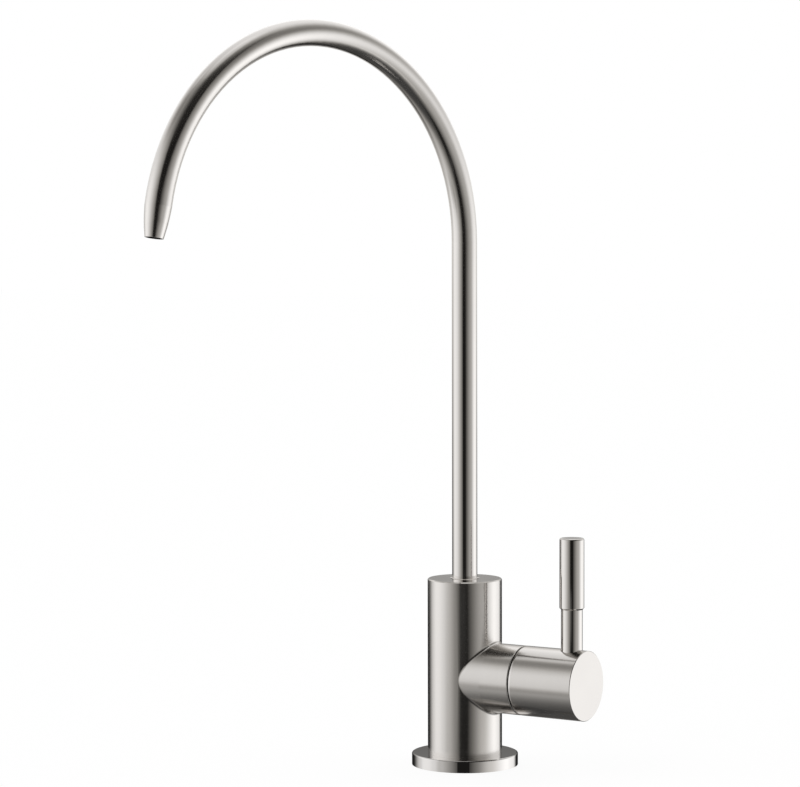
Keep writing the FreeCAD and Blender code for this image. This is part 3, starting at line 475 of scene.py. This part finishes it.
def add_ridge(shape):
    """One helical ridge of trapezoid section, closed at both ends."""
    turns = (THREAD_HIGH - THREAD_LOW) / THREAD_PITCH
    steps = int(turns * SHANK_SIDES)
    rings = []
    for k in range(steps + 1):
        angle = math.tau * k / SHANK_SIDES
        middle = THREAD_LOW + THREAD_PITCH * k / SHANK_SIDES
        rise = min(1.0, k / (RIDGE_RUN * SHANK_SIDES), (steps - k) / (RIDGE_RUN * SHANK_SIDES))
        crest = THREAD_MINOR + (THREAD_MAJOR - THREAD_MINOR) * rise
        foot = THREAD_MINOR - RIDGE_SUNK
        ring = []
        for radius, offset in ((foot, -RIDGE_FOOT), (crest, -RIDGE_CREST),
                               (crest, RIDGE_CREST), (foot, RIDGE_FOOT)):
            ring.append(shape.verts.new((radius * math.cos(angle), radius * math.sin(angle),
                                         middle + offset)))
        rings.append(ring)
    skin(shape, rings)
    shape.faces.new(rings[0])
    shape.faces.new(rings[-1])


def make_shank():
    shape = bmesh.new()
    rings = ring_points(shape, SHANK_OUTLINE, SHANK_SIDES)
    skin(shape, rings + rings[:1])
    add_ridge(shape)
    shank = link_mesh("shank_thread", shape, "body", steel)
    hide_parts("threaded_shank")


make_shank()


# Studio. A tent round the object carries soft lights, which only shiny surfaces see. Each is
# (turn from the camera, height, inner radius, soft edge, strength), in degrees.

TENT_LIGHTS = [
    (-95.8, 10.6, 0.0, 95.8, 1.12),
    (106.2, -10.1, 3.5, 46.3, 0.86),
    (160.0, 35.8, 13.1, 62.6, 1.17),
    (-130.1, 74.3, 15.6, 46.6, -0.50),
    (206.5, 85.7, 11.6, 35.2, 0.46),
    (76.0, -16.7, 18.8, 54.2, 0.45),
    (115.9, 28.0, 0.0, 45.3, -0.48),
    (-137.0, -18.1, 24.0, 9.1, -0.14),
    (-92.0, 52.0, 5.0, 14.0, -0.13),
    (-114.0, 60.5, 1.0, 7.0, 0.20),
    (-60.0, -19.0, 2.0, 11.0, -0.26),
    (-76.0, -21.0, 2.0, 11.0, -0.26),
    (0.0, 90.0, 8.0, 14.0, 0.35),
    (115.0, -8.0, 2.0, 9.0, -0.10),
]
TENT_RADIUS = 3.0
TENT_SUBDIVISIONS = 5
TENT_BASE = 0.048
TENT_DARKEST = 0.013
# the tent's colour where it is dark, and from this strength up
TENT_SHADE = ((1.0, 0.965, 0.90), (1.0, 1.0, 1.0))
TENT_WHITE = 0.9
# where the studio's turns start from, about Z in the shared frame
CAMERA_SIDE_TURN = -57.5
# The dark flag at the camera: its sides in degrees, each with its soft edge. The right side
# leans outwards above a height, and the flag ends below the zenith.
FLAG_LEFT, FLAG_LEFT_SOFT = -13.0, 35.2
FLAG_RIGHT, FLAG_RIGHT_SOFT = 5.5, 27.0
FLAG_LEAN, FLAG_LEAN_FROM = 1.96, 15.0
FLAG_TOP, FLAG_TOP_SOFT = 61.7, 25.0
# its crisp middle
CORE_LEFT, CORE_RIGHT, CORE_SOFT = -18.0, 8.5, 2.0


def direction(turn, height):
    turn, height = math.radians(turn), math.radians(height)
    return (math.cos(turn) * math.cos(height), math.sin(turn) * math.cos(height),
            math.sin(height))


def stage_object(name, mesh, material, camera=True, glossy=True):
    mesh.materials.append(material)
    stage = bpy.data.objects.new(name, mesh)
    scene.collection.objects.link(stage)
    stage.visible_camera = stage.visible_diffuse = stage.visible_shadow = camera
    stage.visible_glossy = glossy
    return stage


def light_material(name):
    """A material that only shiny surfaces see, so its light is never sampled by itself."""
    material = bpy.data.materials.new(name)
    material.use_nodes = True
    material.cycles.emission_sampling = "NONE"
    material.node_tree.nodes.clear()
    return material, material.node_tree


def edge(tree, value, middle, soft):
    """Rises smoothly from 0 to 1 round a middle."""
    return smooth(tree, value, middle - soft / 2, middle + soft / 2)


def flag_cover(tree, outward):
    """1 where the dark flag at the camera covers the tent."""
    x, y, z = parts_of(tree, outward)
    turn = math_node(tree, "DEGREES", math_node(tree, "ARCTAN2", y, x))
    height = math_node(tree, "DEGREES", math_node(tree, "ARCSINE", z))
    above = math_node(tree, "MAXIMUM", math_node(tree, "SUBTRACT", height, FLAG_LEAN_FROM), 0.0)
    lean = math_node(tree, "MULTIPLY", above, FLAG_LEAN)
    inside = math_node(tree, "SUBTRACT", lean, turn)
    whole = math_node(tree, "MULTIPLY", edge(tree, turn, FLAG_LEFT, FLAG_LEFT_SOFT),
                      edge(tree, inside, -FLAG_RIGHT, FLAG_RIGHT_SOFT))
    core = math_node(tree, "MULTIPLY", edge(tree, turn, CORE_LEFT, CORE_SOFT),
                     edge(tree, inside, -CORE_RIGHT, CORE_SOFT))
    cover = math_node(tree, "MAXIMUM", whole, core)
    top = smooth(tree, height, FLAG_TOP - FLAG_TOP_SOFT, FLAG_TOP, 1.0, 0.0)
    return math_node(tree, "MULTIPLY", cover, top)


def make_tent():
    shape = bmesh.new()
    bmesh.ops.create_icosphere(shape, subdivisions=TENT_SUBDIVISIONS, radius=TENT_RADIUS)
    material, tree = light_material("studio_tent")
    outward = vector_node(tree, "NORMALIZE", object_coords(tree)).outputs[0]
    total = TENT_BASE
    for turn, height, inner, soft, strength in TENT_LIGHTS:
        dot = vector_node(tree, "DOT_PRODUCT", outward, direction(turn, height))
        angle = math_node(tree, "ARCCOSINE", dot.outputs["Value"])
        glow = smooth(tree, angle, math.radians(inner + soft), math.radians(inner),
                      0.0, strength)
        total = math_node(tree, "ADD", glow, total)
    total = math_node(tree, "MAXIMUM", total, 0.0)
    clear = math_node(tree, "SUBTRACT", 1.0, flag_cover(tree, outward))
    total = math_node(tree, "ADD", math_node(tree, "MULTIPLY", total, clear), TENT_DARKEST)
    emission = tree.nodes.new("ShaderNodeEmission")
    put(tree, emission.inputs["Strength"], total)
    put(tree, emission.inputs["Color"],
        mixed(tree, map_range(tree, total, 0.0, TENT_WHITE), *TENT_SHADE, "RGBA"))
    surface(tree, emission.outputs[0])
    tent = stage_object("studio_tent", mesh_of("studio_tent", shape), material, camera=False)
    tent.rotation_euler = (0, 0, math.radians(CAMERA_SIDE_TURN))


# Cards stand round the object. Each is (turns of its two sides, fades there, fade at its top,
# clear or not, (height, strength) up its face). One is behind the object, one low on its right,
# and a narrow faint one at the camera. The last two are clear, so that they only add light.
CARD_RADIUS = 0.3
CARD_STEPS = 24
CARD_SHADE = (1.0, 0.985, 0.96)
CARDS = {
    "back": ((128.0, 246.0), (16.0, 32.0), 0.03, False,
             [(-0.08, 0.015), (0.02, 0.025), (0.058, 0.17), (0.087, 0.26), (0.12, 0.42),
              (0.156, 0.60), (0.20, 0.83), (0.273, 1.05)]),
    "low": ((25.0, 97.0), (36.0, 36.0), 0.04, True, [(-0.10, 0.25), (-0.01, 0.25)]),
    "front": ((-26.0, 10.0), (14.0, 16.0), 0.005, True,
              [(0.007, 0.0), (0.016, 0.08), (0.036, 0.08)]),
}
# A dark pad lies round the foot, seen only in reflections: painted shade for the deck in the
# object's shadow. Its strength, the radii where it fades out, and how far it fades for rays that
# graze it
SHADE_PAD_GLOW = 0.06
SHADE_PAD_FADE = (0.08, 0.22)
SHADE_PAD_GRAZING = (0.0, 0.75)
SHADE_PAD_SIDES = 64


def make_card(name, turns, fades, top_fade, see_through, glows):
    low, high = glows[0][0], glows[-1][0]
    shape = bmesh.new()
    start, end = turns
    columns = []
    for i in range(CARD_STEPS + 1):
        turn = start + (end - start) * i / CARD_STEPS
        x, y, _ = direction(turn + CAMERA_SIDE_TURN, 0.0)
        columns.append([shape.verts.new((x * CARD_RADIUS, y * CARD_RADIUS, z))
                        for z in (low, high)])
    skin(shape, columns, closed_round=False)
    material, tree = light_material(name)
    x, y, z = parts_of(tree, object_coords(tree))
    ramp = tree.nodes.new("ShaderNodeValToRGB")
    put(tree, ramp.inputs["Fac"], map_range(tree, z, low, high))
    stops = ramp.color_ramp.elements
    for index, (height, glow) in enumerate(glows):
        place = (height - low) / (high - low)
        stop = stops[0] if index == 0 else stops[1] if index == 1 else stops.new(place)
        stop.position = place
        stop.color = (*(glow * part for part in CARD_SHADE), 1)
    emission = tree.nodes.new("ShaderNodeEmission")
    tree.links.new(ramp.outputs["Color"], emission.inputs["Color"])
    # the card spans less than a half circle, so a sine tells its two sides apart
    left = (start + end) / 2 + 90
    across = vector_node(tree, "DOT_PRODUCT",
                         vector_node(tree, "NORMALIZE", joined(tree, x, y, 0.0)).outputs[0],
                         direction(left + CAMERA_SIDE_TURN, 0.0)).outputs["Value"]
    off = math_node(tree, "DEGREES", math_node(tree, "ARCSINE", across))
    half = (end - start) / 2
    sides = math_node(tree, "MULTIPLY", smooth(tree, off, -half, fades[0] - half),
                      smooth(tree, off, half - fades[1], half, 1.0, 0.0))
    solid = math_node(tree, "MULTIPLY", sides, smooth(tree, z, high - top_fade, high, 1.0, 0.0))
    clear = tree.nodes.new("ShaderNodeBsdfTransparent").outputs[0]
    if see_through:
        put(tree, emission.inputs["Strength"], solid)
        both = tree.nodes.new("ShaderNodeAddShader")
        tree.links.new(clear, both.inputs[0])
        tree.links.new(emission.outputs[0], both.inputs[1])
        surface(tree, both.outputs[0])
    else:
        surface(tree, mixed_shader(tree, solid, clear, emission.outputs[0]))
    stage_object(name, mesh_of(name, shape), material, camera=False)


def make_shade_pad():
    shape = bmesh.new()
    bmesh.ops.create_circle(shape, cap_ends=True, segments=SHADE_PAD_SIDES, radius=SHADE_PAD_FADE[1])
    material, tree = light_material("studio_shade_pad")
    x, y, _ = parts_of(tree, object_coords(tree))
    radius = vector_node(tree, "LENGTH", joined(tree, x, y, 0.0)).outputs["Value"]
    emission = tree.nodes.new("ShaderNodeEmission")
    emission.inputs["Strength"].default_value = SHADE_PAD_GLOW
    clear = tree.nodes.new("ShaderNodeBsdfTransparent").outputs[0]
    facing = tree.nodes.new("ShaderNodeLayerWeight").outputs["Facing"]
    # painted shade: darkest near the foot and for steep rays, where reflections meet the deck
    # under the object
    near = smooth(tree, radius, SHADE_PAD_FADE[1], SHADE_PAD_FADE[0])
    steep = map_range(tree, facing, SHADE_PAD_GRAZING[1], SHADE_PAD_GRAZING[0])
    surface(tree, mixed_shader(tree, math_node(tree, "MULTIPLY", near, steep), clear,
                               emission.outputs[0]))
    stage_object("studio_shade_pad", mesh_of("studio_shade_pad", shape), material, camera=False)


def seen_directly(tree):
    """1 for camera, glossy and transmission rays."""
    path = tree.nodes.new("ShaderNodeLightPath")
    both = math_node(tree, "MAXIMUM", path.outputs["Is Camera Ray"], path.outputs["Is Glossy Ray"])
    return math_node(tree, "MAXIMUM", both, path.outputs["Is Transmission Ray"])


# the world is white where it is seen, and this strong where it lights
WORLD_LIGHT = 0.5


def make_world():
    world = bpy.data.worlds.new("world")
    scene.world = world
    world.use_nodes = True
    tree = world.node_tree
    tree.nodes.clear()
    background = tree.nodes.new("ShaderNodeBackground")
    background.inputs["Color"].default_value = (1, 1, 1, 1)
    put(tree, background.inputs["Strength"],
        map_range(tree, seen_directly(tree), 0.0, 1.0, to_low=WORLD_LIGHT))
    output = tree.nodes.new("ShaderNodeOutputWorld")
    tree.links.new(background.outputs[0], output.inputs["Surface"])


FLOOR_HALF = 6.0
FLOOR_COLOUR = (0.98, 0.98, 0.98)
# how far the floor, where it is seen, is plain white instead of lit
FLOOR_GLOW = 0.92


def make_floor():
    """A plain pale deck. It is clear from below, so that what hangs under it can be seen."""
    mesh = bpy.data.meshes.new("floor")
    corners = [(-FLOOR_HALF, -FLOOR_HALF, 0), (FLOOR_HALF, -FLOOR_HALF, 0),
               (FLOOR_HALF, FLOOR_HALF, 0), (-FLOOR_HALF, FLOOR_HALF, 0)]
    mesh.from_pydata(corners, [], [(0, 1, 2, 3)])
    material = bpy.data.materials.new("floor")
    material.use_nodes = True
    tree = material.node_tree
    tree.nodes.clear()
    pale = tree.nodes.new("ShaderNodeBsdfDiffuse")
    pale.inputs["Color"].default_value = (*FLOOR_COLOUR, 1)
    glow = tree.nodes.new("ShaderNodeEmission")
    share = math_node(tree, "MULTIPLY", seen_directly(tree), FLOOR_GLOW)
    above = mixed_shader(tree, share, pale.outputs[0], glow.outputs[0])
    clear = tree.nodes.new("ShaderNodeBsdfTransparent").outputs[0]
    below = tree.nodes.new("ShaderNodeNewGeometry").outputs["Backfacing"]
    surface(tree, mixed_shader(tree, below, above, clear))
    stage_object("floor", mesh, material, glossy=False)


# Wide soft lamps: (turn from the camera, height, apparent width in degrees, strength)
LAMPS = [(-75, 40, 60, 0.95), (100, 45, 60, 0.75), (175, 60, 60, 0.50)]


def make_lamps():
    for index, (turn, height, width, strength) in enumerate(LAMPS):
        data = bpy.data.lights.new(f"lamp_{index}", "SUN")
        data.angle = math.radians(width)
        data.energy = strength
        lamp = bpy.data.objects.new(f"lamp_{index}", data)
        scene.collection.objects.link(lamp)
        outward = Vector(direction(turn + CAMERA_SIDE_TURN, height))
        lamp.rotation_euler = outward.to_track_quat("Z", "Y").to_euler()
        lamp.visible_glossy = False


make_tent()
for card_name, card in CARDS.items():
    make_card(f"studio_card_{card_name}", *card)
make_shade_pad()
make_world()
make_floor()
make_lamps()
